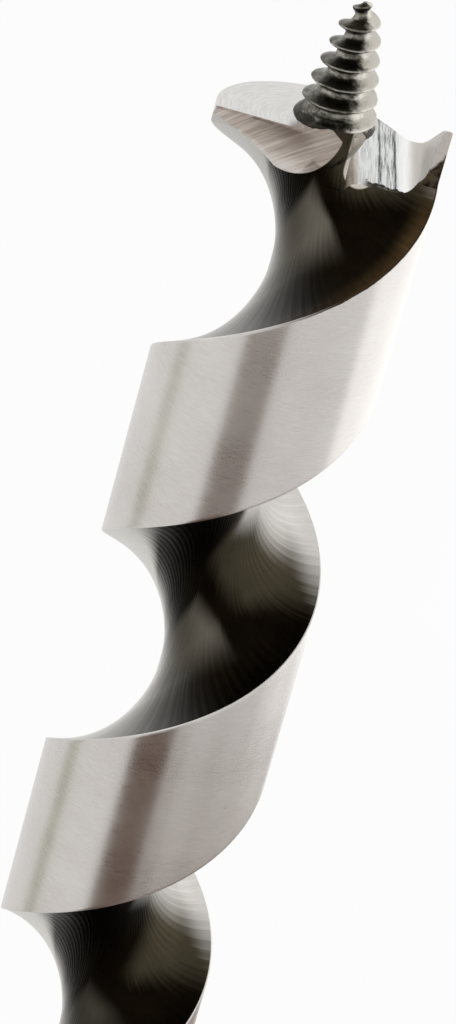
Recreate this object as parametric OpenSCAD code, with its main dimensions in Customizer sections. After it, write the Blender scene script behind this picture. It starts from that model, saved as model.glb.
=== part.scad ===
// Single-flute wood auger bit with a tapered feed screw, a single spur and a hexagon shank.
// The axis is Z. The shank's end face is at z = 0 and the feed screw points to +Z.

/* [Bit] */
// Diameter over the lands
bit_d = 25.4; // [20:0.2:32]
// Length from the shank's end to the feed screw's tip
overall_len = 200; // [180:1:240]
// Axial advance of the flute in one turn
flute_pitch = 52.4; // [46:0.2:62]
// Axial width of the land
land_w = 24.2; // [20:0.2:27]
// Diameter of the core left by the flute
core_d = 5.16; // [5:0.02:7]
// How flat the bottom of the flute is
flute_flat = 2.5; // [2:0.1:3.2]
// How steep the walls of the flute are
flute_steep = 2.3; // [2:0.1:3]

/* [Head] */
// Depth of the lip's outer corner below the lip's face, on the left of the head
lip_drop = 2.75; // [1.5:0.05:4]
// Clearance angle behind the cutting lip, in degrees
lip_clearance = 6.8; // [3:0.1:10]
// Distance of the lip's ground front face from the axis
lip_front = 2.5; // [2.4:0.05:2.8]
// Lean of the hollow front face at the outer end, in degrees
rake_lean = 46; // [30:1:50]
// Forward tilt of the front face, in degrees
rake_tilt = 1.5; // [1:0.1:3]
// Distance from the axis at which the front face starts to lean
rake_from = 1; // [0:0.1:2]
// Depth of the front face below the lip's face
rake_depth = 5.4; // [5:0.1:5.6]
// Height of the boss that carries the feed screw, above the lip's face
boss_h = 1.1; // [0.6:0.1:2]
// Diameter of the boss
boss_d = 7.6; // [6:0.1:9]
// Height over which the boss flares out of the core
boss_flare = 3.6; // [2:0.1:5]
// Angle from the X axis at which the spur starts, in degrees
spur_start = 5; // [0:0.5:10]
// Angle over which the spur's block runs, in degrees
spur_sweep = 42; // [30:1:50]
// Height of the spur's tip above the lip's face
spur_h = 3; // [2:0.1:5]
// Slope of the spur's top towards its leading end, in degrees
spur_slope = 38; // [25:1:45]
// Thickness of the spur at its tip
spur_tip_w = 1.1; // [0.4:0.05:1.5]
// Thickness of the spur at its root
spur_root_w = 1.5; // [1.2:0.05:2.5]
// Side relief: how far the spur lies inside the land
spur_inset = 0.15; // [0.1:0.05:0.3]
// Depth below the lip's face to which the land beside the channel is ground down
bank_drop = 2.6; // [2:0.1:3]
// Depth of the channel's floor below the lip's face
channel_drop = 4.5; // [2:0.1:5]
// How much shallower the channel is at its near bank
channel_fall = 0.6; // [0:0.1:1]
// Radius between the channel's floor and the spur
channel_r = 2.6; // [1:0.1:2.6]
// Distance of the channel's near bank from the axis
channel_near = 3.2; // [3:0.1:5]
// Turn of the channel from the tangent, in degrees
channel_turn = 8; // [0:0.5:12]
// Rise of the channel towards its leading end, in degrees
channel_rise = 7; // [0:0.5:10]

/* [Feed screw] */
// Length of the feed screw above its seat
feed_len = 14.2; // [12:0.1:20]
// Diameter over the thread at the seat
feed_d = 9.2; // [8:0.1:11]
// Diameter over the last full turn of the thread
feed_end_d = 4.4; // [3:0.1:5]
// Advance of the feed screw's thread in one turn
thread_pitch = 2.2; // [2:0.05:3]
// Root of the thread as a share of its crest, at the seat
thread_root = 0.76; // [0.65:0.01:0.8]
// Root of the thread as a share of its crest, at the tip
thread_root_end = 0.46; // [0.4:0.01:0.6]
// Diameter of the collar at the foot of the thread
collar_d = 8.9; // [7.8:0.1:10]
// Height of the collar
collar_h = 0.8; // [0.4:0.1:1.2]
// Diameter of the plain stem
stem_d = 3.2; // [2.4:0.05:3.4]
// Length of the plain stem
stem_len = 15; // [12:0.5:20]
// Depth of the flat on the stem
stem_flat = 0.5; // [0.3:0.05:0.8]
// Height of the flat on the screw's foot, which is ground with the lip
foot_flat_h = 0.7; // [0.2:0.1:1.5]

/* [Set screw] */
// Diameter of the set screw
set_d = 5; // [3:0.1:6]
// Length of the set screw
set_len = 8; // [5:0.5:9]
// Distance of the set screw below the lip's face
set_drop = 8.8; // [7:0.1:10]
// Width across the flats of the set screw's socket
set_key = 2.5; // [1.5:0.1:3]
// Depth of the set screw's socket
set_key_depth = 3; // [1.5:0.1:4]

/* [Shank] */
// Width across the flats of the hexagon shank
shank_af = 11.1; // [9:0.1:12.7]
// Length of the hexagon shank
shank_len = 34; // [25:1:60]
// Chamfer round the end of the shank
shank_chamfer = 1; // [0.4:0.1:1.6]
// Diameter of the tenon in the neck
tenon_d = 9; // [7:0.1:10]
// Length of the tenon
tenon_len = 10.5; // [8:0.5:12]
// Diameter of the cross pin
pin_d = 3; // [2:0.1:4]

/* [Neck] */
// Diameter of the neck
neck_d = 16.4; // [14:0.1:19]
// Length of the neck
neck_len = 10; // [8:0.5:16]
// Length over which the flute runs out into the neck
runout_len = 13; // [10:0.5:20]

/* [Fits] */
// Radial clearance of the stem in its bore
stem_fit = 0.05; // [0.01:0.01:0.1]
// Radial clearance of the set screw in its hole
set_fit = 0.05; // [0.01:0.01:0.1]
// Radial clearance of the tenon and the pin
tenon_fit = 0.02; // [0.01:0.01:0.05]
// Room below the stem and above the tenon
end_room = 0.5; // [0.2:0.1:1]

/* [Hidden] */
$fn = 64;

// Heights along the bit
neck_z = shank_len;
twist_z = neck_z + neck_len;
seat_z = overall_len - feed_len;
lip_z = seat_z - boss_h;
top_z = lip_z + spur_h;
pin_z = neck_z + tenon_len / 2;
set_z = lip_z - set_drop;

// Radii
bit_r = bit_d / 2;
core_r = core_d / 2;
stem_r = stem_d / 2;
set_r = set_d / 2;
neck_r = neck_d / 2;
tenon_r = tenon_d / 2;
pin_r = pin_d / 2;
feed_r = feed_d / 2;
boss_r = boss_d / 2;
channel_mid = (channel_near + bit_r - spur_root_w) / 2;
spare = 4;

// The section of the twist: an arc for the land and a round-bottomed flute
land_deg = 360 * land_w / flute_pitch;
flute_deg = 360 - land_deg;
land_steps = 18;
flute_steps = 24;
slice_deg = 11.5;
flat_y = stem_r - stem_flat;

function flute_r(s) =
    bit_r - (bit_r - core_r) * pow(1 - pow(abs(2 * s - 1), flute_flat), 1 / flute_steep);
function polar(r, a) = [r * cos(a), r * sin(a)];
function turn_at(z) = 180 + 360 * (z - (lip_z - lip_drop)) / flute_pitch;

function twist_section() = concat(
    [for (i = [0:land_steps]) polar(bit_r, land_deg * (i / land_steps - 1))],
    [for (i = [1:flute_steps - 1])
        let (a = flute_deg * (1 - cos(180 * i / flute_steps)) / 2)
        polar(flute_r(1 - a / flute_deg), a)]);

// The twist from the neck to above the spur
module twist() {
    height = top_z + spare - twist_z;
    turn = 360 * height / flute_pitch;
    translate([0, 0, twist_z])
        rotate(turn_at(twist_z))
            linear_extrude(height, twist = -turn, slices = ceil(turn / slice_deg), segments = 0,
                           convexity = 8)
                polygon(twist_section());
}

// Outer limit of the twist: it grows out of the neck to the full diameter
module twist_limit() {
    rotate_extrude()
        polygon([
            [0, twist_z],
            [neck_r, twist_z],
            [bit_r + spare, twist_z + bit_r + spare - neck_r],
            [bit_r + spare, top_z],
            [0, top_z]]);
}

// Round neck with the core that runs out of it
module neck() {
    rotate_extrude()
        polygon([
            [0, neck_z],
            [neck_r, neck_z],
            [neck_r, twist_z],
            [core_r, twist_z + runout_len],
            [0, twist_z + runout_len]]);
}

// The twist is ground down beside the channel, so that only the spur stands above its floor
module bank_cut() {
    translate([channel_mid, -bit_d, lip_z - bank_drop])
        cube([bit_d, 2 * bit_d, bit_d]);
}

// Block at the outer wall from which the spur is ground, with a top that falls away behind its tip
module spur_block() {
    block_w = 2 * spur_root_w;
    foot_z = lip_z - channel_drop - 2 * channel_r;
    difference() {
        rotate(spur_start)
            rotate_extrude(angle = spur_sweep)
                translate([bit_r - spur_inset - block_w, foot_z])
                    square([block_w, top_z - foot_z]);
        translate([0, bit_r * sin(spur_start), top_z])
            rotate([-spur_slope, 0, 0])
                translate([0, -spare, 0])
                    cube([bit_d, bit_d, bit_d]);
    }
}

// Outline of the channel between its near bank and the spur, seen along the channel
function channel_outline() =
    let (floor_z = -channel_drop,
         wall_x = bit_r - spur_root_w,
         arc_steps = 8)
    concat(
        [[channel_near, spare + spur_h],
         [channel_near, floor_z + channel_fall]],
        [for (i = [0:arc_steps])
            let (a = 90 * i / arc_steps)
            [wall_x - channel_r + channel_r * sin(a), floor_z + channel_r * (1 - cos(a))]],
        [[bit_r - spur_tip_w, spur_h],
         [bit_r - spur_tip_w, spare + spur_h]]);

module channel_cut() {
    translate([0, 0, lip_z])
        rotate([channel_rise, 0, channel_turn])
            rotate([90, 0, 0])
                linear_extrude(2 * bit_d, center = true)
                    polygon(channel_outline());
}

// Everything above the lip's clearance face, up to the middle of the channel
module lip_cut() {
    translate([0, 0, lip_z])
        rotate([-lip_clearance, 0, 0])
            translate([-bit_d, -bit_d, 0])
                cube([bit_d + channel_mid, 2 * bit_d, 2 * spare + spur_h]);
}

// Front of the lip: a ground face that leans back more and more towards the outer end
function rake_y(x, z) =
    let (down = max(lip_z - z, 0),
         out = max(-x - rake_from, 0) / (bit_r - rake_from))
    down * (tan(rake_lean) * out - tan(rake_tilt)) - lip_front;

module lip_front_cut() {
    cols = 8;
    rows = 6;
    left_x = -bit_r - spare;
    foot_z = lip_z - rake_depth;
    heights = concat([for (j = [0:rows]) foot_z + (lip_z - foot_z) * j / rows], [lip_z + bit_d]);
    across = [for (i = [0:cols]) left_x + (core_r - left_x) * i / cols];
    face = [for (z = heights, x = across) [x, rake_y(x, z), z]];
    n = cols + 1;
    last = len(heights) - 1;
    corner = len(face);
    front = [for (z = [foot_z, lip_z + bit_d], x = [left_x, core_r]) [x, -bit_d, z]];
    grid = [for (j = [0:last - 1], i = [0:cols - 1])
        let (a = j * n + i, b = a + n)
        each [[a, a + 1, b + 1], [a, b + 1, b]]];
    rims = [
        [corner, corner + 2, corner + 3, corner + 1],
        concat([corner, corner + 1], [for (i = [cols:-1:0]) i]),
        concat([corner + 3, corner + 2], [for (i = [0:cols]) last * n + i]),
        concat([corner + 2, corner], [for (j = [0:last]) j * n]),
        concat([corner + 1, corner + 3], [for (j = [last:-1:0]) j * n + cols])];
    polyhedron(concat(face, front), concat(grid, rims), convexity = 4);
}

// Boss that carries the feed screw
module boss() {
    rotate_extrude()
        polygon([
            [0, lip_z - boss_flare],
            [core_r - stem_fit, lip_z - boss_flare],
            [boss_r, lip_z],
            [boss_r, seat_z],
            [0, seat_z]]);
}

module stem_bore() {
    translate([0, 0, seat_z - stem_len - end_room])
        cylinder(h = stem_len + bit_d, r = stem_r + stem_fit);
}

module set_screw_hole() {
    translate([0, 0, set_z])
        rotate([-90, 0, 0])
            cylinder(h = bit_d, r = set_r + set_fit);
}

module tenon_socket() {
    translate([0, 0, neck_z - spare])
        cylinder(h = spare + tenon_len + end_room, r = tenon_r + tenon_fit);
}

module pin_hole() {
    translate([0, 0, pin_z])
        rotate([0, 90, 0])
            cylinder(h = bit_d, r = pin_r + tenon_fit, center = true);
}

module twist_body() {
    color([0.78, 0.76, 0.74])
        difference() {
            union() {
                difference() {
                    union() {
                        difference() {
                            intersection() {
                                twist();
                                twist_limit();
                            }
                            bank_cut();
                        }
                        spur_block();
                    }
                    channel_cut();
                    lip_cut();
                }
                neck();
                boss();
            }
            lip_front_cut();
            stem_bore();
            set_screw_hole();
            tenon_socket();
            pin_hole();
        }
}

// Thread of the feed screw: one rounded crest that thins out into a hollow root
thread_steps = 20;
thread_rings = 15;
thread_sharpness = 2;
crest_start = 144;
tip_r = 0.8;
cone_len = feed_len - thread_pitch;
ring_count = ceil(thread_rings * feed_len / thread_pitch);

// Radius over the crest at a height above the seat: a long cone, then a short point
function crest_r(h) = h < cone_len
    ? feed_r + (feed_end_d / 2 - feed_r) * h / cone_len
    : feed_end_d / 2 + (tip_r - feed_end_d / 2) * (h - cone_len) / thread_pitch;
function root_share(h) = thread_root + (thread_root_end - thread_root) * h / feed_len;
function thread_share(a, h) =
    root_share(h) + (1 - root_share(h)) * pow((1 + cos(a)) / 2, thread_sharpness);
function thread_ring(h) = [for (i = [0:thread_steps - 1])
    let (a = 360 * i / thread_steps,
         flat = polar(crest_r(h) * thread_share(a, h), a + crest_start + 360 * h / thread_pitch))
    [flat[0], flat[1], h]];

module thread() {
    n = thread_steps;
    points = [for (j = [0:ring_count]) each thread_ring(feed_len * j / ring_count)];
    sides = [for (j = [0:ring_count - 1], i = [0:n - 1])
        let (k = (i + 1) % n)
        each [[j * n + i, j * n + n + i, j * n + n + k], [j * n + i, j * n + n + k, j * n + k]]];
    foot = [[for (i = [0:n - 1]) i]];
    point = [[for (i = [n - 1:-1:0]) ring_count * n + i]];
    polyhedron(points, concat(foot, sides, point), convexity = 8);
}

module feed_screw() {
    color([0.55, 0.55, 0.52]) {
        difference() {
            translate([0, 0, seat_z]) {
                thread();
                cylinder(h = collar_h, r = collar_d / 2);
                translate([0, 0, collar_h])
                    cylinder(h = collar_h, r1 = collar_d / 2, r2 = collar_d / 4);
            }
            translate([-bit_r, -bit_d - lip_front, seat_z - spare])
                cube([bit_d, bit_d, spare + foot_flat_h]);
        }
        difference() {
            translate([0, 0, seat_z - stem_len])
                cylinder(h = stem_len + thread_pitch / 2, r = stem_r);
            translate([-bit_r, flat_y, seat_z - stem_len - spare])
                cube([bit_d, bit_d, stem_len + spare]);
        }
    }
}

module feed_screw_set_screw() {
    color([0.2, 0.2, 0.21])
        translate([0, flat_y, set_z])
            rotate([-90, 0, 0])
                difference() {
                    cylinder(h = set_len, r = set_r);
                    translate([0, 0, set_len - set_key_depth])
                        cylinder(h = set_key_depth + spare, d = set_key / cos(30), $fn = 6);
                }
}

module hex_shank() {
    corner_r = shank_af / 2 / cos(30);
    color([0.62, 0.62, 0.62]) {
        intersection() {
            cylinder(h = shank_len, r = corner_r, $fn = 6);
            rotate_extrude()
                polygon([
                    [0, 0],
                    [shank_af / 2 - shank_chamfer, 0],
                    [corner_r + spare, corner_r + spare - shank_af / 2 + shank_chamfer],
                    [corner_r + spare, shank_len],
                    [0, shank_len]]);
        }
        difference() {
            translate([0, 0, shank_len - shank_chamfer])
                cylinder(h = tenon_len + shank_chamfer, r = tenon_r);
            pin_hole();
        }
    }
}

module shank_pin() {
    pin_len = 2 * sqrt(pow(neck_r, 2) - pow(pin_r, 2));
    color([0.7, 0.7, 0.7])
        translate([0, 0, pin_z])
            rotate([0, 90, 0])
                cylinder(h = pin_len, r = pin_r, center = true);
}

twist_body();
feed_screw();
feed_screw_set_screw();
hex_shank();
shank_pin();
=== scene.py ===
# %% [markdown]
# A wood auger bit. The body is one bar of steel, twisted into a helix: a broad outer band, the
# land, and a deep round channel, the flute, that lifts the chips. A screw at the tip pulls the bit
# into the wood, a lip planes the bottom of the hole and a spur cuts its rim. The frame holds every
# piece at its real size, so it is loaded first and everything that follows is placed from it.

# %% Load the frame
import math

import bmesh
import bpy
from mathutils import Matrix, Vector, noise


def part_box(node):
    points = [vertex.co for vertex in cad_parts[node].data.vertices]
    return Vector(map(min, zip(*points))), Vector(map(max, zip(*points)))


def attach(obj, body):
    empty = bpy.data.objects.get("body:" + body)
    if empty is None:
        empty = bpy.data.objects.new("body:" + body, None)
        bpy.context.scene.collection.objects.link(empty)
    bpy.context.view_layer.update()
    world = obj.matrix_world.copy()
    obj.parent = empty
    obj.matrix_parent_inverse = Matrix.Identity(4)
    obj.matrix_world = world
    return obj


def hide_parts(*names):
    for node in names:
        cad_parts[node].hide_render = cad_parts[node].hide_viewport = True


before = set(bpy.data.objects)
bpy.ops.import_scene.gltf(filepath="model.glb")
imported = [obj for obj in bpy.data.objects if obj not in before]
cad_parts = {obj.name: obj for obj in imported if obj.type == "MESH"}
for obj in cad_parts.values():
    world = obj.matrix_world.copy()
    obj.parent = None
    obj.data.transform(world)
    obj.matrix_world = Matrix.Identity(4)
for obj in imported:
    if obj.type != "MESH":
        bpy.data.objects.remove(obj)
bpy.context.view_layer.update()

MM = 0.001
print("pieces of the frame:", sorted(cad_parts))

# %% [markdown]
# The picture is taken with a long lens from a little above, and the camera is rolled so that the
# bit leans to the right. Tilting the camera leaves the bit upright in its own frame.

# %% Camera
VIEW_CENTRE = Vector((0.34 * MM, 0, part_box("feed_screw")[1].z - 63.85 * MM))
VIEW_DISTANCE = 625 * MM
VIEW_ELEVATION = math.radians(29.593)
VIEW_ROLL = math.radians(15.623)
LENS_MM = 198.34
SENSOR_MM = 36

away = Vector((0, -math.cos(VIEW_ELEVATION), math.sin(VIEW_ELEVATION)))
bpy.ops.object.camera_add(location=VIEW_CENTRE + VIEW_DISTANCE * away)
camera = bpy.context.object
tilt = Matrix.Rotation(math.pi / 2 - VIEW_ELEVATION, 3, "X")
camera.rotation_euler = (tilt @ Matrix.Rotation(VIEW_ROLL, 3, "Z")).to_euler()
camera.data.lens = LENS_MM
camera.data.sensor_width = SENSOR_MM
bpy.context.scene.camera = camera
print("camera at", tuple(round(v / MM, 1) for v in camera.location), "mm")

# %% [markdown]
# Small helpers for working as by hand: make one piece the only selected one, select parts of its
# mesh by a rule on their place, and cut one piece with another. A cutter carries the finish of
# the face that it leaves, as a grinding wheel does.

# %% Helpers for modelling
CLOSE = 0.001 * MM


def only(piece):
    bpy.ops.object.select_all(action="DESELECT")
    piece.select_set(True)
    bpy.context.view_layer.objects.active = piece
    return piece


def edit(piece):
    only(piece)
    bpy.ops.object.mode_set(mode="EDIT")
    bpy.ops.mesh.select_mode(type="VERT")
    bpy.ops.mesh.select_all(action="DESELECT")


def done():
    bpy.ops.object.mode_set(mode="OBJECT")


def pick(piece, rule):
    """Select the vertices whose place passes the rule, ready for an edit-mode operator."""
    edit(piece)
    done()
    for vertex in piece.data.vertices:
        vertex.select = rule(vertex.co)
    bpy.ops.object.mode_set(mode="EDIT")


def close_ends(piece, *levels):
    """Fill the open rings at these heights."""
    for level in levels:
        pick(piece, lambda co: abs(co.z - level) < CLOSE)
        bpy.ops.mesh.edge_face_add()
        done()


def face_outwards(piece):
    edit(piece)
    bpy.ops.mesh.select_all(action="SELECT")
    bpy.ops.mesh.normals_make_consistent(inside=False)
    done()


def settle(piece):
    """Put the object's place into its mesh, so that the object sits at the origin."""
    only(piece)
    bpy.ops.object.transform_apply(location=True, rotation=True, scale=True)
    return piece


def volume(piece):
    """What the piece holds, in cubic millimetres, and -1 if its skin isn't closed."""
    skin = bmesh.new()
    skin.from_mesh(piece.data)
    size = skin.calc_volume(signed=True) / MM ** 3
    closed = all(edge.is_manifold for edge in skin.edges)
    skin.free()
    return size if closed else -1


def combine(piece, other, operation):
    only(piece)
    bpy.ops.object.modifier_add(type="BOOLEAN")
    step = piece.modifiers[-1]
    step.operation = operation
    step.solver = "MANIFOLD"
    step.material_mode = "TRANSFER"
    step.object = other
    bpy.ops.object.modifier_apply(modifier=step.name)
    print(f"{piece.name} {operation.lower()} {other.name}: {volume(piece):.0f} cubic mm")
    bpy.data.objects.remove(other)


def turned(name, stations, finish, sides=96):
    """A lathe piece: a disc that is extruded and resized from station to station (radius, height)."""
    radius, height = stations[0]
    bpy.ops.object.select_all(action="DESELECT")
    bpy.ops.mesh.primitive_circle_add(
        vertices=sides, radius=radius, fill_type="NGON", location=(0, 0, height))
    piece = settle(bpy.context.object)
    piece.name = name
    bpy.ops.object.mode_set(mode="EDIT")
    bpy.ops.mesh.select_all(action="SELECT")
    for next_radius, next_height in stations[1:]:
        bpy.ops.mesh.extrude_region_move(
            TRANSFORM_OT_translate={"value": (0, 0, next_height - height)})
        ratio = next_radius / radius
        bpy.ops.transform.resize(value=(ratio, ratio, 1), center_override=(0, 0, next_height))
        radius, height = next_radius, next_height
    done()
    face_outwards(piece)
    piece.data.materials.append(finish)
    return piece


def trim(piece, point, normal):
    """Cut the piece with a plane, drop what lies on the side of the normal and close the cut."""
    edit(piece)
    bpy.ops.mesh.select_all(action="SELECT")
    bpy.ops.mesh.bisect(plane_co=point, plane_no=normal, use_fill=True, clear_outer=True)
    done()


def drawn(name, outline, start, stop, finish):
    """A flat outline (x, z), filled and drawn out along Y from start to stop."""
    bpy.ops.object.select_all(action="DESELECT")
    bpy.ops.mesh.primitive_circle_add(vertices=len(outline), fill_type="NGON")
    piece = bpy.context.object
    piece.name = name
    for vertex, (x, z) in zip(piece.data.vertices, outline):
        vertex.co = (x, start, z)
    edit(piece)
    bpy.ops.mesh.select_all(action="SELECT")
    bpy.ops.mesh.extrude_region_move(TRANSFORM_OT_translate={"value": (0, stop - start, 0)})
    done()
    face_outwards(piece)
    piece.data.materials.append(finish)
    return piece


def block(name, low, high, finish):
    """A box between two corners."""
    bpy.ops.object.select_all(action="DESELECT")
    bpy.ops.mesh.primitive_cube_add(size=1, location=(Vector(low) + Vector(high)) / 2,
                                    scale=Vector(high) - Vector(low))
    piece = settle(bpy.context.object)
    piece.name = name
    piece.data.materials.append(finish)
    return piece

# %% [markdown]
# Shader maths reads best as plain expressions. A Wire is one output of a shader tree: adding or
# multiplying wires adds Math nodes, and every other node comes from one method, which takes the
# node's settings first and then what goes into its sockets.

# %% Shader helper
class Wire:
    def __init__(self, tree, socket=None):
        self.tree = tree
        self.socket = socket

    def node(self, kind, settings=None, sockets=None, out=0):
        made = self.tree.nodes.new(kind)
        for name, value in (settings or {}).items():
            setattr(made, name, value)
        for key, value in (sockets or {}).items():
            if isinstance(value, Wire):
                self.tree.links.new(value.socket, made.inputs[key])
            else:
                made.inputs[key].default_value = value
        return Wire(self.tree, made.outputs[out])

    def output(self, index):
        """Another output of the same node."""
        return Wire(self.tree, self.socket.node.outputs[index])

    def math(self, operation, *terms):
        return self.node("ShaderNodeMath", {"operation": operation}, dict(enumerate(terms)))

    def __add__(self, other):
        return self.math("ADD", self, other)

    def __sub__(self, other):
        return self.math("SUBTRACT", self, other)

    def __rsub__(self, other):
        return self.math("SUBTRACT", other, self)

    def __mul__(self, other):
        return self.math("MULTIPLY", self, other)

    def __truediv__(self, other):
        return self.math("DIVIDE", self, other)

    def __rtruediv__(self, other):
        return self.math("DIVIDE", other, self)

    def __pow__(self, other):
        return self.math("POWER", self, other)

    __radd__ = __add__
    __rmul__ = __mul__

    def rise(self, low, high):
        """0 below low, 1 above high, and a smooth rise between them."""
        return self.node("ShaderNodeMapRange", {"interpolation_type": "SMOOTHSTEP"},
                         {"Value": self, "From Min": low, "From Max": high})

    def blend(self, first, second):
        """A colour that goes from first to second as this wire goes from 0 to 1."""
        def colour(value):
            return value if isinstance(value, Wire) else (*value, 1)
        return self.node("ShaderNodeMix", {"data_type": "RGBA"},
                         {0: self, 6: colour(first), 7: colour(second)}, out=2)

    def noise(self, scale=1.0, detail=2.0, rough=0.5):
        """Noise over a place that this wire holds."""
        return self.node("ShaderNodeTexNoise", {"noise_dimensions": "3D"},
                         {"Vector": self, "Scale": scale, "Detail": detail, "Roughness": rough})

    def joined(self, *parts):
        """A place put together from three numbers."""
        return self.node("ShaderNodeCombineXYZ", None, dict(enumerate(parts)))

    def bump(self, height, strength, distance):
        """A normal that height, in metres of relief when distance is 1, tilts."""
        return self.node("ShaderNodeBump", None,
                         {"Height": height, "Strength": strength, "Distance": distance})


def finish(name, paint):
    """A material whose Principled shader is filled in with what paint(wire) returns."""
    material = bpy.data.materials.new(name)
    material.use_nodes = True
    tree = material.node_tree
    shader = tree.nodes["Principled BSDF"]
    for key, value in paint(Wire(tree)).items():
        if isinstance(value, Wire):
            tree.links.new(value.socket, shader.inputs[key])
        elif isinstance(value, tuple):
            shader.inputs[key].default_value = (*value, 1)
        else:
            shader.inputs[key].default_value = value
    print("finish:", name, len(tree.nodes), "nodes")
    return material


def place(wire):
    """The point on the piece, and its x, y and z, in metres of the bit's frame."""
    at = wire.node("ShaderNodeTexCoord", out=3)
    split = wire.node("ShaderNodeSeparateXYZ", None, {0: at})
    return at, split, split.output(1), split.output(2)

# %% [markdown]
# The finishes of the body come next, because each cutter carries one. Steel that is ground keeps
# the marks of the wheel: fine lines round the land, lines down the flute, arcs on the lip. All of
# them are one metal, so only its tone, its roughness and the direction of the marks change. The
# marks on the land are noise that changes fast along the axis and slowly across it.

# %% Finish of the land
BIT_R = 12.7 * MM
FLUTE_PITCH = 52.4 * MM
LAND_W = 24.2 * MM
LIP_DROP = 2.75 * MM
TIP_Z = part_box("feed_screw")[1].z
SEAT_Z = TIP_Z - 14.2 * MM
LIP_Z = SEAT_Z - 1.1 * MM


def round_twist(wire, x, y, z):
    """The angle round the bit, and how far across the flute that is: 0 to 1, and more on the land."""
    turn = wire.math("ARCTAN2", x, y * -1)
    twist = (z - (LIP_Z - LIP_DROP)) / FLUTE_PITCH
    return turn, wire.math("FRACT", turn / (2 * math.pi) + 19.25 - twist) / (1 - LAND_W / FLUTE_PITCH)


def land_finish(wire):
    at, x, y, z = place(wire)
    turn, across = round_twist(wire, x, y, z)
    lines = wire.joined(x * 700, y * 700, z * 7000).noise(1, 3, 0.6)
    bands = wire.joined(x * 60, y * 60, z * 120).noise(1, 2, 0.5)
    tone = (lines * 0.5 + bands * 0.5).rise(0.3, 0.7)
    below_edge = (across - 1) * (FLUTE_PITCH - LAND_W) + (at.noise(900, 3, 0.6) - 0.5) * (0.3 * MM)
    rusty = (1 - below_edge.rise(0.18 * MM, 0.3 * MM)) * turn.rise(-0.2, 0.5)
    rusty = rusty * z.rise(LIP_Z - 42 * MM, LIP_Z - 30 * MM)
    steel = tone.blend((0.55, 0.52, 0.495), (0.655, 0.63, 0.6))
    return {"Base Color": rusty.blend(steel, (0.03, 0.02, 0.012)),
            "Metallic": 1.0, "Roughness": tone * 0.06 + 0.26,
            "Anisotropic": 0.6, "Anisotropic Rotation": 0.25,
            "Normal": wire.bump(lines, 0.15, 0.00003)}


LAND = finish("ground_land", land_finish)

# %% [markdown]
# The flute was milled and never polished: it is dark, with streaks that run down it and the steps
# that the cutter left. Painted reflections lie over that dark tone: a light flank and corner by its
# left edge, a dim fan across it, and light bands stepped like the cutter's marks. Two numbers place
# all of that: the angle round the bit, and how far across the flute a point lies, which is that
# angle less the twist. The front of the lip was ground bare, so the same finish shows bare steel
# there.

# %% Finish of the flute
STEP_DEG = 360 / 76


def lobe(wire, x, y, z):
    """1 on the ground front of the lip: a band that ends in a round lobe at the core."""
    right = wire.math("MAXIMUM", x + 5 * MM, 0) * 1.02
    up = z - (LIP_Z + 1 * MM)
    inside = 1 - ((right * right + up * up) ** 0.5).rise(6.62 * MM, 6.77 * MM)
    above = (z - (LIP_Z - 5.95 * MM) + (x + 4.5 * MM) * 0.5785).rise(-0.08 * MM, 0.08 * MM)
    # The throat is left out of the bare lobe, so it keeps the flute's dark tone as painted shade where the
    # gap runs deeper.
    throat = ((x - 0.1 * MM) * 1.2 + (z - (LIP_Z + 1.2 * MM)) * 1.5).rise(-0.1 * MM, 0.1 * MM)
    behind = y - wire.math("MAXIMUM", x * -1 - 3 * MM, 0)
    return inside * above * (1 - throat) * (1 - behind.rise(-1.5 * MM, -1.2 * MM))


def bare_bank(wire, x, y, z):
    """1 on the rounded bank, which was ground bare together with the channel."""
    side = x - 4.3 * MM
    under = wire.math("MINIMUM", z - (LIP_Z - 2.95 * MM), 0)
    inside = 1 - ((side * side + under * under) ** 0.5).rise(1.8 * MM, 2 * MM)
    behind = y - x.rise(2.4 * MM, 3.2 * MM) * z.rise(LIP_Z - 2 * MM, LIP_Z) * (2 * MM)
    return inside * z.rise(LIP_Z - 7 * MM, LIP_Z - 6 * MM) * (1 - behind.rise(0.5 * MM, 1 * MM))


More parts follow.
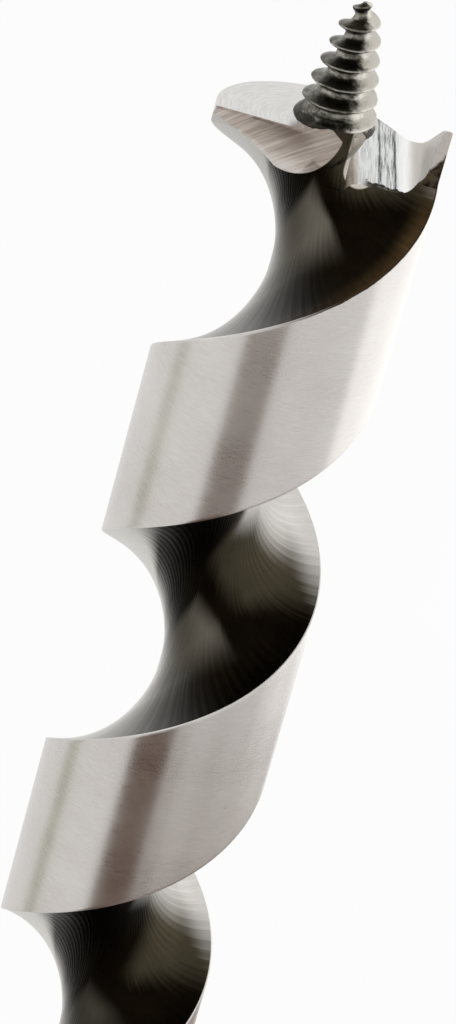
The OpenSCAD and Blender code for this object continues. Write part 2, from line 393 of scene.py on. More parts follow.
def flute_finish(wire):
    at, x, y, z = place(wire)
    radius = (x * x + y * y) ** 0.5
    turn, across = round_twist(wire, x, y, z)
    streaks = wire.joined(x / radius * 26, y / radius * 26, z * 40).noise(1, 4, 0.65)
    cloud = at.noise(300, 4, 0.6)
    degrees = turn * (180 / math.pi)
    ragged = degrees + (streaks - 0.5) * 18
    stepped = wire.math("FLOOR", degrees / STEP_DEG) * (0.75 * STEP_DEG) + degrees * 0.25
    lower = 1 - z.rise(LIP_Z - 105 * MM, LIP_Z - 88 * MM)
    # Painted reflection: a light flank and corner along the flute's left edge, set by the angle round the
    # bit.
    flank = wire.math("MINIMUM", wire.math("MAXIMUM", across - 0.27, 0), 0.64) * 128
    flank = flank - ragged * (1 - across.rise(0.75, 0.98) * 0.45)
    corner = (ragged * -1 - across * 420).rise(34, 62)
    left = wire.math("MAXIMUM", flank.rise(55, 117) ** 3, corner) * degrees.rise(-175, -125)
    left = left * (1 - z.rise(LIP_Z - 35 * MM, LIP_Z - 10 * MM) * 0.25)
    upper = z.rise(LIP_Z - 60 * MM, LIP_Z - 35 * MM)
    # Painted reflection: a dim fan across the middle of the flute.
    edge = degrees * 0.7 + ragged * 0.3 - across * 110 + upper * 4
    edge = edge + wire.math("MAXIMUM", across - 0.85, 0) * 60
    fan = edge.rise(-135, -105) * (1 - edge.rise(-59, -52)) * (1 - lower * 0.5)
    start = across - wire.math("MAXIMUM", degrees + 10, 0) * 0.0055 - degrees * 0.001
    start = start - lower * 0.05 - (1 - upper) * 0.03
    fan = fan * start.rise(0.47, 0.6) * (1 - (across - degrees * 0.001).rise(0.8, 0.94))
    # Painted reflection: light bands, stepped like the cutter's marks.
    bands = wire.math("MINIMUM", across * 190 - 53, across * 60 + 49) - radius.rise(8.5 * MM, 12.5 * MM) * 16
    bands = (stepped + streaks * 6 - bands - lower * 8).rise(-6, 28)
    bands = bands * across.rise(0.4, 0.56) * (1 - degrees.rise(150, 172))
    olive = wire.math("MAXIMUM", across * 130 - 54, across * 250 - 160)
    olive = (ragged - olive).rise(-10, 12) * (across - lower * 0.45).rise(0.3, 0.45)
    olive = olive * (1 - degrees.rise(145, 175))
    rust = radius.rise(10.2 * MM, 12.5 * MM) * (cloud * 0.6 + 0.25) * z.rise(LIP_Z - 24 * MM, LIP_Z - 8 * MM)
    tone = cloud.blend((0.001, 0.0008, 0.0005), (0.009, 0.006, 0.003))
    tone = olive.blend(tone, cloud.blend((0.036, 0.03, 0.017), (0.06, 0.05, 0.034)))
    tone = rust.blend(tone, (0.06, 0.037, 0.016))
    # The painted reflections of the fan, the left flank and the bands go over the dark tone.
    fan_light = edge.rise(-91, -60) * 0.6 + streaks * 0.4
    tone = fan.blend(tone, fan_light.blend((0.05, 0.045, 0.034), (0.135, 0.123, 0.1)))
    tone = left.blend(tone, streaks.blend((0.62, 0.6, 0.56), (0.74, 0.72, 0.68)))
    tone = bands.blend(tone, streaks.blend((0.54, 0.52, 0.49), (0.68, 0.66, 0.63)))

    height = z * 0.74 + y * 0.42 - x * 0.525
    marks = wire.joined((x + z) * 60, height * 3400, y * 30).noise(1, 5, 0.7)
    # Painted highlight: the ground front of the lip is lighter towards its bottom.
    low_front_highlight = 1 - z.rise(LIP_Z - 5.2 * MM, LIP_Z - 3 * MM)
    bare = marks.rise(0.3, 0.7).blend((0.36, 0.29, 0.24), (0.66, 0.6, 0.55))
    bare = (low_front_highlight * 0.6).blend(bare, (0.74, 0.71, 0.68))
    ground = lobe(wire, x, y, z)
    tone = bare_bank(wire, x, y, z).blend(tone, cloud.blend((0.42, 0.38, 0.33), (0.68, 0.63, 0.57)))
    steps = wire.math("SINE", degrees * (2 * math.pi / STEP_DEG))
    relief = (steps * 0.00001 + streaks * 0.00005) * (1 - ground)
    return {"Base Color": ground.blend(tone, bare), "Metallic": 1.0,
            "Roughness": streaks * 0.1 + bands * 0.12 + 0.34,
            "Normal": wire.bump(relief + marks * ground * 0.00003, 1.0, 1.0)}


FLUTE = finish("dark_flute", flute_finish)

# %% [markdown]
# The ground faces of the head are brighter. The lip has arcs round the axis from the face of a cup
# wheel, and the channel has scratches along it, two of them deep, where the wheel was run in twice.

# %% Finishes of the head
CHANNEL_TURN = math.radians(8)
CHANNEL_RISE = math.radians(7)
DEEP_SCRATCHES = (6.3 * MM, 8.1 * MM)


def lip_finish(wire):
    at, x, y, z = place(wire)
    radius = (x * x + y * y) ** 0.5
    arcs = wire.joined(radius * 4200, x * 420, y * 420).noise(1, 3, 0.6)
    tone = arcs.rise(0.25, 0.75)
    return {"Base Color": tone.blend((0.58, 0.565, 0.545), (0.73, 0.72, 0.7)),
            "Metallic": 1.0, "Roughness": tone * 0.08 + 0.3,
            "Normal": wire.bump(arcs, 0.3, 0.00005)}


def channel_finish(wire):
    at, x, y, z = place(wire)
    sideways = x * math.cos(CHANNEL_TURN) + y * math.sin(CHANNEL_TURN)
    lengthways = y * math.cos(CHANNEL_TURN) - x * math.sin(CHANNEL_TURN)
    lines = wire.joined(sideways * 4200, lengthways * 300, z * 300).noise(1, 4, 0.7)
    patches = wire.joined(sideways * 900, lengthways * 260, z * 260).noise(1, 2, 0.5)
    deep = 0
    for where in DEEP_SCRATCHES:
        gap = wire.math("ABSOLUTE", sideways - where + (patches - 0.5) * (0.5 * MM))
        deep = (1 - gap.rise(0.05 * MM, 0.22 * MM)) + deep
    rough_part = 1 - sideways.rise(8.1 * MM, 8.6 * MM)
    worst = sideways.rise(5.9 * MM, 6.3 * MM) * rough_part
    fine = (1 - lines.rise(0.36, 0.56)) * (rough_part * 0.35 + worst * 0.6 + 0.1)
    mark = wire.math("MINIMUM", deep * 0.65 + fine * 0.75, 1)
    far = sideways.rise(9 * MM, 10.4 * MM)
    clean = far.blend(rough_part.blend((0.8, 0.81, 0.8), (0.7, 0.71, 0.7)), (0.56, 0.53, 0.49))
    crumbs = at.noise(1300, 3, 0.6)
    edge = x * x * (0.03 / MM) - x * 0.36 - 0.15 * MM + wire.math("MAXIMUM", x - 9.9 * MM, 0) * 1.3
    torn = 1 - (y - edge + (crumbs - 0.5) * (2.6 * MM)).rise(0.5 * MM, 0.8 * MM)
    torn = torn * x.rise(4.6 * MM, 5.4 * MM) * (1 - z.rise(LIP_Z - 4 * MM, LIP_Z - 3 * MM))
    crumb_tone = crumbs.rise(0.4, 0.7).blend((0.006, 0.004, 0.002), (0.11, 0.085, 0.06))
    tone = torn.blend(mark.blend(clean, (0.1, 0.1, 0.1)), crumb_tone)
    return {"Base Color": tone, "Metallic": 1.0, "Roughness": 0.36,
            "Normal": wire.bump(lines * rough_part - deep, 0.35, 0.00005)}


def bank_finish(wire):
    at, x, y, z = place(wire)
    grain = at.noise(1500, 3, 0.6)
    tone = grain.blend((0.42, 0.37, 0.32), (0.64, 0.59, 0.53))
    return {"Base Color": tone, "Metallic": 1.0, "Roughness": 0.36}


def stain_finish(wire):
    at, x, y, z = place(wire)
    grain = at.noise(900, 4, 0.65)
    height = z - (LIP_Z + 0.6 * MM) + (12.95 * MM - x) * 1.6
    clean = (height + (grain - 0.5) * (1.6 * MM)).rise(-0.3 * MM, 0.5 * MM)
    dark = grain.rise(0.35, 0.65).blend((0.008, 0.006, 0.003), (0.09, 0.068, 0.044))
    return {"Base Color": clean.blend(dark, (0.6, 0.56, 0.52)), "Metallic": 1.0, "Roughness": 0.42,
            "Normal": wire.bump(grain, 0.3, 0.00012)}


LIP = finish("ground_lip", lip_finish)
STAIN = finish("stained_end", stain_finish)
CHANNEL = finish("ground_channel", channel_finish)
BANK = finish("ground_bank", bank_finish)
NECK = finish("turned_neck", lip_finish)

# %% [markdown]
# The twist is a flat outline that climbs a helix. The outline has one long arc, the land, and one
# deep hollow, the flute. A circle is added with a point for every step, its points are moved onto
# the outline, and the two corners are rounded a little as on a ground edge.

# %% Outline of the twist
CORE_R = 2.58 * MM
FLUTE_FLAT = 2.5
FLUTE_STEEP = 2.3
LAND_STEPS = 56
FLUTE_STEPS = 72
EDGE_BREAK = 0.16 * MM

NECK_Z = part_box("twist_body")[0].z
TWIST_Z = NECK_Z + 10 * MM
SPUR_H = 3 * MM
TOP_Z = LIP_Z + SPUR_H
SPARE = 4 * MM

land_turn = 2 * math.pi * LAND_W / FLUTE_PITCH
flute_turn = 2 * math.pi - land_turn


def turn_at(height):
    """Where the flute starts at a height, as an angle round the bit."""
    return math.pi + 2 * math.pi * (height - LIP_Z + LIP_DROP) / FLUTE_PITCH


def outline_point(step):
    """Point of the outline: the land's arc first, then the flute, with close steps at its ends."""
    if step <= LAND_STEPS:
        radius, turn = BIT_R, land_turn * (step / LAND_STEPS - 1)
    else:
        share = (1 - math.cos(math.pi * (step - LAND_STEPS) / FLUTE_STEPS)) / 2
        hollow = (1 - abs(1 - 2 * share) ** FLUTE_FLAT) ** (1 / FLUTE_STEEP)
        radius, turn = BIT_R - (BIT_R - CORE_R) * hollow, flute_turn * share
    turn += turn_at(TWIST_Z)
    return Vector((radius * math.cos(turn), radius * math.sin(turn), TWIST_Z))


bpy.ops.object.select_all(action="DESELECT")
bpy.ops.mesh.primitive_circle_add(vertices=LAND_STEPS + FLUTE_STEPS, radius=BIT_R)
body = bpy.context.object
body.name = "auger_body"
for step, vertex in enumerate(body.data.vertices):
    vertex.co = outline_point(step)
corners = [outline_point(0), outline_point(LAND_STEPS)]
pick(body, lambda co: min((co - corner).length for corner in corners) < 0.01 * MM)
bpy.ops.mesh.bevel(offset=EDGE_BREAK, segments=3, affect="VERTICES")
done()
print("outline:", len(body.data.vertices), "points")

# %% [markdown]
# The Screw modifier carries the outline up and round at once, one ring for every three degrees.
# Both open ends are filled, and each face gets the land's finish or the flute's, by whether it
# lies at the full radius.

# %% Twist
TWIST_STEP = math.radians(3)
twist_height = TOP_Z + SPARE - TWIST_Z
twist_turn = 2 * math.pi * twist_height / FLUTE_PITCH

only(body)
bpy.ops.object.modifier_add(type="SCREW")
screw = body.modifiers[-1]
screw.axis = "Z"
screw.angle = twist_turn
screw.screw_offset = twist_height
screw.steps = screw.render_steps = round(twist_turn / TWIST_STEP)
bpy.ops.object.modifier_apply(modifier=screw.name)
close_ends(body, TWIST_Z, TWIST_Z + twist_height)
face_outwards(body)
body.data.materials.append(LAND)
body.data.materials.append(FLUTE)
for face in body.data.polygons:
    on_land = all(body.data.vertices[i].co.xy.length > BIT_R - EDGE_BREAK for i in face.vertices)
    face.material_index = 0 if on_land else 1
print("twist:", len(body.data.polygons), "faces")

# %% [markdown]
# The body starts at a round neck. A turned blank limits the twist there, so that it grows out of
# the neck on a slope, and a second turned piece adds the neck and the core that runs out of it.

# %% Neck
NECK_R = 8.2 * MM
RUNOUT = 13 * MM

reach = BIT_R + SPARE
blank = turned("blank", [(NECK_R, TWIST_Z - SPARE / 2), (NECK_R, TWIST_Z),
                         (reach, TWIST_Z + reach - NECK_R), (reach, TOP_Z)], NECK)
combine(body, blank, "INTERSECT")
neck = turned("neck", [(NECK_R, NECK_Z), (NECK_R, TWIST_Z), (CORE_R, TWIST_Z + RUNOUT)], NECK)
combine(body, neck, "UNION")

# %% [markdown]
# The spur is a short wall that stands on the rim. The land is ground down first where the spur
# will stand alone. The spur starts as a ring, which is cut down to a sector with two planes
# through the axis. Its top is sloped off behind the point, and its inner wall is ground along the
# channel.

# %% Spur
SPUR_START = math.radians(5)
SPUR_SWEEP = math.radians(42)
SPUR_SLOPE = math.radians(38)
SPUR_ROOT = 1.5 * MM
SPUR_TIP = 1.1 * MM
SPUR_INSET = 0.15 * MM
BANK_DROP = 2.6 * MM
CHANNEL_NEAR = 2.5 * MM
CHANNEL_DROP = 4.5 * MM
CHANNEL_FALL = 0.6 * MM
CHANNEL_R = 2.6 * MM
SPUR_GAP = 0.03 * MM

wall_x = BIT_R - SPUR_ROOT
channel_mid = (CHANNEL_NEAR + wall_x) / 2
channel_top = SPARE + SPUR_H
bank = block("bank", (channel_mid, -2 * BIT_R, LIP_Z - BANK_DROP), (2 * BIT_R, 2 * BIT_R, TIP_Z), LAND)
combine(body, bank, "DIFFERENCE")


def along_channel(name, outline, start, stop, finish):
    """A cutter drawn out along the channel, from an outline that is measured from the lip."""
    cutter = drawn(name, outline, start, stop, finish)
    cutter.rotation_euler = (CHANNEL_RISE, 0, CHANNEL_TURN)
    cutter.location = (0, 0, LIP_Z)
    return settle(cutter)


foot_z = LIP_Z - CHANNEL_DROP - 2 * CHANNEL_R
spur_r = BIT_R - SPUR_INSET / 4
spur = turned("spur", [(spur_r, foot_z), (spur_r, TOP_Z + SPARE)], LAND, sides=36)
inside = turned("spur_inside", [(spur_r - 2 * SPUR_ROOT, foot_z - SPARE),
                                (spur_r - 2 * SPUR_ROOT, TOP_Z + 2 * SPARE)], CHANNEL, sides=36)
combine(spur, inside, "DIFFERENCE")
for turn, side in ((SPUR_START, 1), (SPUR_START + SPUR_SWEEP, -1)):
    trim(spur, (0, 0, 0), (side * math.sin(turn), -side * math.cos(turn), 0))
slope = Vector((0, math.sin(SPUR_SLOPE), math.cos(SPUR_SLOPE)))
trim(spur, (0, BIT_R * math.sin(SPUR_START), TOP_Z), slope)
ledge_z = CHANNEL_R - CHANNEL_DROP + SPUR_GAP
tip_x = BIT_R - SPUR_TIP + SPUR_GAP
wall_outline = [(0, ledge_z), (wall_x + SPUR_GAP, ledge_z), (tip_x, SPUR_H),
                (tip_x, channel_top), (0, channel_top)]
combine(spur, along_channel("wall_wheel", wall_outline, -2 * BIT_R, 2 * BIT_R, CHANNEL), "DIFFERENCE")
face_outwards(spur)
spur.data.materials.append(STAIN)
for face in spur.data.polygons:
    if face.normal.y < -0.9:
        face.material_index = len(spur.data.materials) - 1
print("spur:", f"{volume(spur):.1f}", "cubic mm,", len(spur.data.polygons), "faces")
combine(body, spur, "UNION")

# %% [markdown]
# A channel lets the chips of the spur slide into the flute. Its cutter is a flat outline with the
# channel's floor, the spur's inner wall, the spur's rounded top and the open space above, drawn out
# along the channel. A second cutter rounds the floor's edge where it rolls over towards the core.

# %% Channel
BANK_ROUND = 1.4 * MM
SPUR_ROUND = 0.55 * MM
ARC_STEPS = 12

arc = [math.pi / 2 * i / ARC_STEPS for i in range(ARC_STEPS + 1)]
over = [math.radians(170 - 10 * i) for i in range(18)]
channel_outline = (
    [(CHANNEL_NEAR, channel_top), (CHANNEL_NEAR, CHANNEL_FALL - CHANNEL_DROP)]
    + [(wall_x - CHANNEL_R * (1 - math.sin(a)), CHANNEL_R * (1 - math.cos(a)) - CHANNEL_DROP) for a in arc]
    + [(BIT_R - SPUR_ROUND * (1 - math.cos(a)), SPUR_H - SPUR_ROUND * (1 - math.sin(a))) for a in over]
    + [(BIT_R + SPARE, SPUR_H - SPUR_ROUND), (BIT_R + SPARE, channel_top)])
floor_slope = CHANNEL_FALL / (wall_x - CHANNEL_R - CHANNEL_NEAR)
round_x = CHANNEL_NEAR + BANK_ROUND
edge_z = CHANNEL_FALL - CHANNEL_DROP - floor_slope * BANK_ROUND
round_outline = (
    [(round_x - BANK_ROUND * math.sin(a), edge_z - BANK_ROUND * (1 - math.cos(a))) for a in arc]
    + [(CHANNEL_NEAR, edge_z + 0.4 * MM), (round_x, edge_z + 0.4 * MM)])


combine(body, along_channel("channel", channel_outline, -2 * BIT_R, 2 * BIT_R, CHANNEL), "DIFFERENCE")
combine(body, along_channel("bank_round", round_outline, -7 * MM, 5 * MM, BANK), "DIFFERENCE")

# %% [markdown]
# The top of the lip is one ground face that falls away behind the cutting edge. The front below
# the edge is a hollow face that leans back more and more towards the outer end. Its cutter is a
# grid whose points are moved onto that face and then drawn out to the front.

# %% Lip
LIP_CLEARANCE = math.radians(6.8)
LIP_FRONT = 2.5 * MM
RAKE_LEAN = math.radians(46)
RAKE_TILT = math.radians(1.5)
RAKE_FROM = 1 * MM
RAKE_DEPTH = 5.4 * MM
RAKE_ROWS = 40

wheel = block("lip_wheel", (-2 * BIT_R, -2 * BIT_R, 0), (channel_mid, 2 * BIT_R, 3 * SPARE), LIP)
wheel.rotation_euler = (-LIP_CLEARANCE, 0, 0)
wheel.location = (0, 0, LIP_Z)
combine(body, settle(wheel), "DIFFERENCE")

BOSS_R = 3.8 * MM
BOSS_FLARE = 3.6 * MM
# The boss takes the flute's dark finish, as it was forged; under the screw's foot that dark also stands in
# as painted shade.
boss = turned("boss", [(CORE_R - 0.05 * MM, LIP_Z - BOSS_FLARE), (BOSS_R, LIP_Z), (BOSS_R, SEAT_Z)], FLUTE)
combine(body, boss, "UNION")


def rake_point(across, up):
    """Point of the lip's front: across runs from the outer end to the core, up from the foot."""
    left = -BIT_R - SPARE
    x = left + (CORE_R - left) * across
    step = up * (RAKE_ROWS + 1) / RAKE_ROWS
    z = LIP_Z - RAKE_DEPTH * (1 - step) if step <= 1 else TIP_Z
    down = max(LIP_Z - z, 0)
    out = max(-x - RAKE_FROM, 0) / (BIT_R - RAKE_FROM)
    return Vector((x, down * (math.tan(RAKE_LEAN) * out - math.tan(RAKE_TILT)) - LIP_FRONT, z))


bpy.ops.object.select_all(action="DESELECT")
bpy.ops.mesh.primitive_grid_add(x_subdivisions=48, y_subdivisions=RAKE_ROWS + 1, size=1)
front = bpy.context.object
front.name = "lip_front"
for vertex in front.data.vertices:
    vertex.co = rake_point(vertex.co.x + 0.5, vertex.co.y + 0.5)
edit(front)
bpy.ops.mesh.select_all(action="SELECT")
bpy.ops.mesh.extrude_region_move(TRANSFORM_OT_translate={"value": (0, -3 * BIT_R, 0)})
done()
face_outwards(front)
front.data.materials.append(FLUTE)
print("front cutter:", f"{volume(front):.0f}", "cubic mm")
combine(body, front, "DIFFERENCE")

# %% [markdown]
# Last come the holes: the bore for the screw's stem, the hole for its set screw, and the socket and
# cross hole at the neck for the shank.

# %% Holes
STEM_R = 1.6 * MM
STEM_FIT = 0.05 * MM
STEM_LEN = 15 * MM
SET_R = 2.5 * MM
SET_FIT = 0.05 * MM
SET_Z = LIP_Z - 8.8 * MM
TENON_R = 4.5 * MM
TENON_LEN = 10.5 * MM
TENON_FIT = 0.02 * MM
PIN_R = 1.5 * MM
PIN_Z = NECK_Z + TENON_LEN / 2
END_ROOM = 0.5 * MM


def along(piece, axis, location):
    """Lay a turned piece along X or Y."""
    piece.rotation_euler = (0, math.pi / 2, 0) if axis == "X" else (-math.pi / 2, 0, 0)
    piece.location = location
    return settle(piece)


def bored(piece, name, stations, axis=None, location=(0, 0, 0)):
    """Cut a round hole."""
    drill = turned(name, stations, NECK, sides=64)
    if axis:
        along(drill, axis, location)
    combine(piece, drill, "DIFFERENCE")


stem_hole = STEM_R + STEM_FIT
bored(body, "stem_bore", [(stem_hole, SEAT_Z - STEM_LEN - END_ROOM), (stem_hole, TIP_Z)])
bored(body, "set_bore", [(SET_R + SET_FIT, 0), (SET_R + SET_FIT, 2 * BIT_R)], "Y", (0, 0, SET_Z))
socket_r = TENON_R + TENON_FIT
bored(body, "socket", [(socket_r, NECK_Z - SPARE), (socket_r, NECK_Z + TENON_LEN + END_ROOM)])
pin_hole = [(PIN_R + TENON_FIT, -2 * BIT_R), (PIN_R + TENON_FIT, 2 * BIT_R)]
bored(body, "pin_bore", pin_hole, "X", (0, 0, PIN_Z))


def finished(piece, carrier, node, angle=32):
    """Shade a finished piece, put it on its body and let it stand for its CAD node."""
    only(piece)
    bpy.ops.object.shade_smooth_by_angle(angle=math.radians(angle))
    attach(piece, carrier)
    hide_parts(node)
    low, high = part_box(node)
    cad, made = [tuple(round(v / MM, 1) for v in size) for size in (high - low, piece.dimensions)]
    print(piece.name, len(piece.data.polygons), "faces, CAD size", cad, "size", made)


finished(body, "bit", "twist_body")

# %% [markdown]
# The feed screw was forged and left rough. Its colour holds painted reflections: a dark band
# above each crest, darkest at the front, and a lighter right side and back. It also holds painted
# shade under each turn, and painted shade with some dirt round the foot and down the left side.
# Height and angle together say where on the thread a point lies.

# %% Finish of the feed screw
THREAD_PITCH = 2.2 * MM
CREST_START = math.radians(144)


def screw_finish(wire):
    at, x, y, z = place(wire)
    cloud = wire.joined(x * 700, y * 700, z * 1200).noise(1, 5, 0.7)
    height = z - SEAT_Z
    turn = wire.math("ARCTAN2", y, x) - CREST_START
    climb = wire.math("FRACT", height / THREAD_PITCH - turn / (2 * math.pi) + 5 + (cloud - 0.5) * 0.12)
    side = wire.math("ARCTAN2", x, y * -1) * (180 / math.pi)
    back = wire.math("ABSOLUTE", side).rise(95, 165)
    side = side + (cloud - 0.5) * 50
    # Painted reflection: the front of the screw is darker.
    front = side.rise(-66, -34) * (1 - side.rise(14, 46))
    # Painted reflection: the right side is lighter, and the back a little.
    bright = side.rise(14, 54) * (1 - back) * 0.7 + back * 0.3
    # Painted reflection: a dark band just above each crest, darkest at the front.
    black = climb.rise(0.02, 0.07) * (1 - climb.rise(0.34, 0.5)) * (front * 0.85 + 0.15)
    # Painted shade: a dark band under each turn.
    under = climb.rise(0.72, 0.88) * (1 - climb.rise(0.95, 0.98))
    black = wire.math("MAXIMUM", black, under * (1 - side.rise(20, 60) * (1 - back) - back * 0.5))
    collar = 1 - height.rise(0.9 * MM, 1.5 * MM)
    # Painted shade with some dirt round the foot, less where the side is lighter, and down the left side.
    dirt_and_shade = 1 - (height + (cloud - 0.5) * (1.6 * MM) + bright * (0.8 * MM)).rise(1 * MM, 1.5 * MM)
    dirt_and_shade = wire.math("MAXIMUM", (1 - side.rise(-62, -40)) * (1 - back), dirt_and_shade)
    black = black * (1 - collar) + dirt_and_shade * collar * 0.9
    # The lighter right side adds its painted reflection to the grey tone.
    grey = (cloud * 1.7 - 0.55 + bright).rise(0, 1)
    grey = grey.blend((0.055, 0.05, 0.036), (0.67, 0.64, 0.575))
    return {"Base Color": black.blend(grey, cloud.blend((0.002, 0.0015, 0.001), (0.022, 0.019, 0.012))),
            "Metallic": 1.0, "Roughness": cloud * 0.2 + 0.3, "Normal": wire.bump(cloud, 0.7, 0.0003)}


SCREW_STEEL = finish("forged_screw", screw_finish)

# %% [markdown]
# The screw is a cone with one rounded thread. A circle is drawn up in many rings with the Screw
# modifier at no angle, and then every point is moved to the radius that the thread has at its
# height and angle. A little noise keeps the crest from being too even. The foot is ground off
# towards the lip, and the stem has a flat for its set screw.

# %% Feed screw
FEED_LEN = TIP_Z - SEAT_Z
FEED_R = 4.6 * MM
FEED_END_R = 2.2 * MM
ROOT_LOW = 0.76
ROOT_HIGH = 0.46
COLLAR_R = 4.45 * MM
COLLAR_FULL = 1.06
COLLAR_TAPER = 5 * MM
TIP_R = 0.8 * MM
FOOT_FLAT = 0.9 * MM
STEM_FLAT = 0.5 * MM
RINGS = 340
LUMPS, LUMP_MM = 900, 0.08
GRAINS, GRAIN_MM = 2600, 0.04

cone_len = FEED_LEN - THREAD_PITCH


def thread_radius(turn, height):
    """Radius of the screw at an angle and a height above its seat."""
    if height < cone_len:
        crest = FEED_R + (FEED_END_R - FEED_R) * height / cone_len
    else:
        crest = FEED_END_R + (TIP_R - FEED_END_R) * (height - cone_len) / THREAD_PITCH
    swing = turn - CREST_START - 2 * math.pi * height / THREAD_PITCH
    ridge = ((1 + math.cos(swing)) / 2) ** 2
    root = ROOT_LOW + (ROOT_HIGH - ROOT_LOW) * height / FEED_LEN
    thread = crest * (root + (1 - root) * ridge)
    collar = COLLAR_R * min(1, COLLAR_FULL - height / COLLAR_TAPER)
    return max(thread, collar)


bpy.ops.object.select_all(action="DESELECT")
bpy.ops.mesh.primitive_circle_add(vertices=96, radius=FEED_R, location=(0, 0, SEAT_Z))
feed = settle(bpy.context.object)
feed.name = "feed_screw_thread"
bpy.ops.object.modifier_add(type="SCREW")
rise = feed.modifiers[-1]
rise.axis = "Z"
rise.angle = 0
rise.screw_offset = FEED_LEN
rise.steps = rise.render_steps = RINGS
bpy.ops.object.modifier_apply(modifier=rise.name)
close_ends(feed, SEAT_Z, TIP_Z)
for vertex in feed.data.vertices:
    co = vertex.co
    turn, height = math.atan2(co.y, co.x), co.z - SEAT_Z
    rough = noise.noise(co * LUMPS) * LUMP_MM + noise.noise(co * GRAINS) * GRAIN_MM
    rough = rough * MM * (1 - height / FEED_LEN)
    radius = thread_radius(turn, height) + rough
    vertex.co = (radius * math.cos(turn), radius * math.sin(turn), co.z)
face_outwards(feed)
feed.data.materials.append(SCREW_STEEL)
foot_outline = [(-BIT_R, SEAT_Z - SPARE), (BIT_R, SEAT_Z - SPARE), (BIT_R, SEAT_Z + FOOT_FLAT),
                (-0.4 * MM, SEAT_Z + FOOT_FLAT), (-2 * MM, SEAT_Z + FOOT_FLAT / 3),
                (-4 * MM, SEAT_Z), (-BIT_R, SEAT_Z)]
combine(feed, drawn("foot_wheel", foot_outline, -2 * BIT_R, -LIP_FRONT, FLUTE), "DIFFERENCE")
stem_stations = [(STEM_R, SEAT_Z - STEM_LEN), (STEM_R, SEAT_Z + THREAD_PITCH / 2)]
stem = turned("stem", stem_stations, SCREW_STEEL, sides=48)
flat = block("stem_flat", (-BIT_R, STEM_R - STEM_FLAT, SEAT_Z - STEM_LEN - SPARE),
             (BIT_R, BIT_R, SEAT_Z), SCREW_STEEL)
combine(stem, flat, "DIFFERENCE")
combine(feed, stem, "UNION")
finished(feed, "feed_screw", "feed_screw", 40)

# %% [markdown]
# The last three pieces are plain bought or bar-turned steel. One function gives all their
# finishes: a tone, a roughness and faint lines from the drawing of the bar.

# %% Plain finishes
def plain_finish(tone, roughness):
    def paint(wire):
        at, x, y, z = place(wire)
        lines = wire.joined(x * 900, y * 900, z * 150).noise(1, 3, 0.6)
        shade = lines.rise(0.3, 0.7)
        return {"Base Color": shade.blend(tuple(v * 0.85 for v in tone), tone),
                "Metallic": 1.0, "Roughness": shade * 0.1 + roughness,
                "Normal": wire.bump(lines, 0.2, 0.00003)}
    return paint


BLACK_STEEL = finish("black_oxide", plain_finish((0.06, 0.06, 0.065), 0.35))
SHANK_STEEL = finish("drawn_bar", plain_finish((0.6, 0.6, 0.59), 0.3))
PIN_STEEL = finish("ground_pin", plain_finish((0.7, 0.7, 0.7), 0.24))

# %% [markdown]
# A socket set screw in the back of the head holds the feed screw by the flat of its stem. It is
# turned upright with broken edges, its hexagon socket is a six-sided cutter, and it is then laid
# along Y.

# %% Set screw
SET_LEN = 8 * MM
SET_KEY = 2.5 * MM
SET_KEY_DEPTH = 3 * MM
BREAK = 0.3 * MM
set_screw = turned("set_screw", [(SET_R - BREAK, 0), (SET_R, BREAK), (SET_R, SET_LEN - BREAK),
                                 (SET_R - BREAK, SET_LEN)], BLACK_STEEL, sides=64)
key = turned("key", [(SET_KEY / math.sqrt(3), SET_LEN - SET_KEY_DEPTH),
                     (SET_KEY / math.sqrt(3), SET_LEN + SPARE)], BLACK_STEEL, sides=6)
combine(set_screw, key, "DIFFERENCE")
along(set_screw, "Y", (0, STEM_R - STEM_FLAT, SET_Z))
finished(set_screw, "set_screw", "feed_screw_set_screw")

# %% [markdown]
# The shank is a hexagon bar for the chuck, with a round tenon in the neck. Meeting it with a cone
# gives the curved chamfer that a lathe leaves on a hexagon's end.

# %% Shank
SHANK_LEN = NECK_Z
SHANK_AF = 11.1 * MM
SHANK_CHAMFER = 1 * MM
SHANK_BREAK = 0.25 * MM
corner_r = SHANK_AF / math.sqrt(3)
shank = turned("shank", [(corner_r, 0), (corner_r, SHANK_LEN)], SHANK_STEEL, sides=6)
shank.rotation_euler = (0, 0, math.pi / 6)
settle(shank)
end_r = SHANK_AF / 2 - SHANK_CHAMFER
wide_r = end_r + 2 * SPARE
cone = turned("shank_cone", [(end_r, 0), (wide_r, 2 * SPARE), (wide_r, SHANK_LEN + SPARE)], SHANK_STEEL)
combine(shank, cone, "INTERSECT")
only(shank)
bpy.ops.object.modifier_add(type="BEVEL")
edge_break = shank.modifiers[-1]
edge_break.width = SHANK_BREAK
edge_break.segments = 2
edge_break.angle_limit = math.radians(30)
bpy.ops.object.modifier_apply(modifier=edge_break.name)
tenon_stations = [(TENON_R, SHANK_LEN - SHANK_CHAMFER), (TENON_R, SHANK_LEN + TENON_LEN)]
tenon = turned("tenon", tenon_stations, SHANK_STEEL, sides=64)
combine(shank, tenon, "UNION")
bored(shank, "tenon_bore", pin_hole, "X", (0, 0, PIN_Z))
finished(shank, "bit", "hex_shank", 20)

# %% [markdown]
# A pin through neck and tenon carries the turning force. Its ends lie just inside the round neck.

# %% Cross pin
pin_half = math.sqrt(NECK_R ** 2 - PIN_R ** 2)
pin = turned("cross_pin", [(PIN_R - BREAK, -pin_half), (PIN_R, BREAK - pin_half), (PIN_R, pin_half - BREAK),
                           (PIN_R - BREAK, pin_half)], PIN_STEEL, sides=64)
along(pin, "X", (0, 0, PIN_Z))
finished(pin, "bit", "shank_pin")

# %% [markdown]
# The bit stands in a white room. To the camera and to mirror and glass rays the room is plain white,
# so that the steel has something white to reflect, and to all other rays it is a softer light.

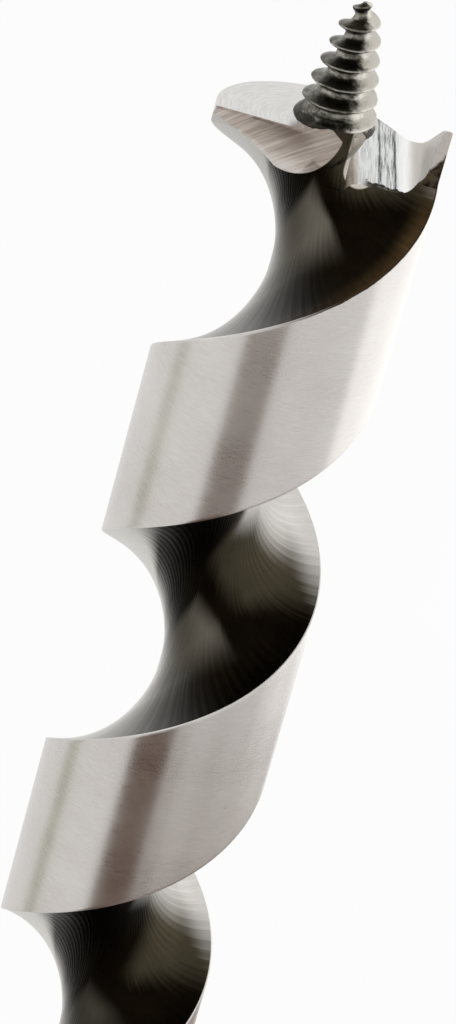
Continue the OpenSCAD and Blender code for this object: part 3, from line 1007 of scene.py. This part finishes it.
# %% White room
def shown_rays(wire):
    """1 for the rays that show the room: camera, mirror and glass rays."""
    path = wire.node("ShaderNodeLightPath")
    return wire.math("MAXIMUM", wire.math("MAXIMUM", path, path.output(3)), path.output(6))


WHITE = (1, 1, 1, 1)
world = bpy.data.worlds.new("white_room")
bpy.context.scene.world = world
world.use_nodes = True
room = Wire(world.node_tree)
soft = room.node("ShaderNodeBackground", None, {0: WHITE, 1: 0.6})
plain = room.node("ShaderNodeBackground", None, {0: WHITE, 1: 1.0})
sky = room.node("ShaderNodeMixShader", None, {0: shown_rays(room), 1: soft, 2: plain})
world.node_tree.links.new(sky.socket, world.node_tree.nodes["World Output"].inputs[0])
print("world:", world.name)

# %% [markdown]
# The floor is wide and white in the same way, but it keeps a share of the light that really falls
# on it, so that the bit's shadow still shows.

# %% Floor
FLOOR_SHARE = 0.92
bpy.ops.object.select_all(action="DESELECT")
bpy.ops.mesh.primitive_plane_add(size=8)
floor = bpy.context.object
floor.name = "floor"
paper = finish("white_floor", lambda wire: {"Base Color": (0.9, 0.9, 0.9), "Roughness": 1.0})
tree = paper.node_tree
wire = Wire(tree, tree.nodes["Principled BSDF"].outputs[0])
glow = wire.node("ShaderNodeEmission", None, {0: WHITE, 1: 1.0})
mixed = wire.node("ShaderNodeMixShader", None, {0: shown_rays(wire) * FLOOR_SHARE, 1: wire, 2: glow})
tree.links.new(mixed.socket, tree.nodes["Material Output"].inputs[0])
floor.data.materials.append(paper)
print("floor:", tuple(floor.dimensions))

# %% [markdown]
# Polished lands look like what they mirror. Cards on the floor, which only the reflections show, put
# a dark brown stripe, a faint green one, a pink tone and a bright edge on them, as a studio does.

# %% Cards
CARD_LIFT = 1 * MM
CARD_NEAR = 40 * MM


def card(name, finish, azimuth, spread, near, far):
    """A card that lies on the floor as a wedge towards the bit and shows only in its reflections."""
    bpy.ops.object.select_all(action="DESELECT")
    bpy.ops.mesh.primitive_plane_add(size=1, location=(0, 0, CARD_LIFT))
    made = settle(bpy.context.object)
    made.name = name
    for vertex in made.data.vertices:
        reach = far if vertex.co.x > 0 else near
        turn = math.radians(azimuth + (spread if vertex.co.y > 0 else -spread))
        vertex.co.xy = reach * math.cos(turn), reach * math.sin(turn)
    made.data.materials.append(finish)
    made.visible_camera = made.visible_diffuse = made.visible_shadow = False


DARK_CARD = finish("dark_card", lambda wire: {"Base Color": (0.1, 0.03, 0.0), "Roughness": 1.0})
GREEN_CARD = finish("pale_card", lambda wire: {"Base Color": (0.72, 0.74, 0.62), "Roughness": 1.0})
PINK_CARD = finish("pink_card", lambda wire: {"Base Color": (0.43, 0.36, 0.33), "Roughness": 1.0})
# The bright card glows: a light panel that only reflections show.
BRIGHT_CARD = finish("bright_card", lambda wire: {"Base Color": (0, 0, 0), "Emission Color": (1, 1, 1),
                                                  "Emission Strength": 1.6, "Roughness": 1.0})
card("front_card", DARK_CARD, -97, 18.5, CARD_NEAR, 400 * MM)
card("low_card", DARK_CARD, -74, 11, CARD_NEAR, 190 * MM)
card("left_card", GREEN_CARD, 179, 7, CARD_NEAR, 400 * MM)
for azimuth in (-56, -8, 40):
    card("near_card", PINK_CARD, azimuth, 24, CARD_NEAR, 190 * MM)
for azimuth in (22, 62):
    card("back_card", BRIGHT_CARD, azimuth, 20, 225 * MM, 440 * MM)

# %% [markdown]
# Three large soft lamps, one above and one on each side, all aimed at the middle of the bit.

# %% Lamps
LAMP_AIM = Vector((0, 0, 120 * MM))


def lamp(name, location, size, power):
    bpy.ops.object.select_all(action="DESELECT")
    bpy.ops.object.light_add(type="AREA", location=location)
    made = bpy.context.object
    made.name = name
    made.data.size = size
    made.data.energy = power
    made.rotation_euler = (LAMP_AIM - made.location).to_track_quat("-Z", "Y").to_euler()


lamp("top_lamp", (-0.2, 0.15, 0.8), 0.5, 0.8)
lamp("left_lamp", (-0.7, -0.15, 0.4), 0.4, 0.6)
lamp("right_lamp", (0.7, 0.1, 0.35), 0.4, 0.6)
bpy.context.scene.view_settings.view_transform = "Standard"
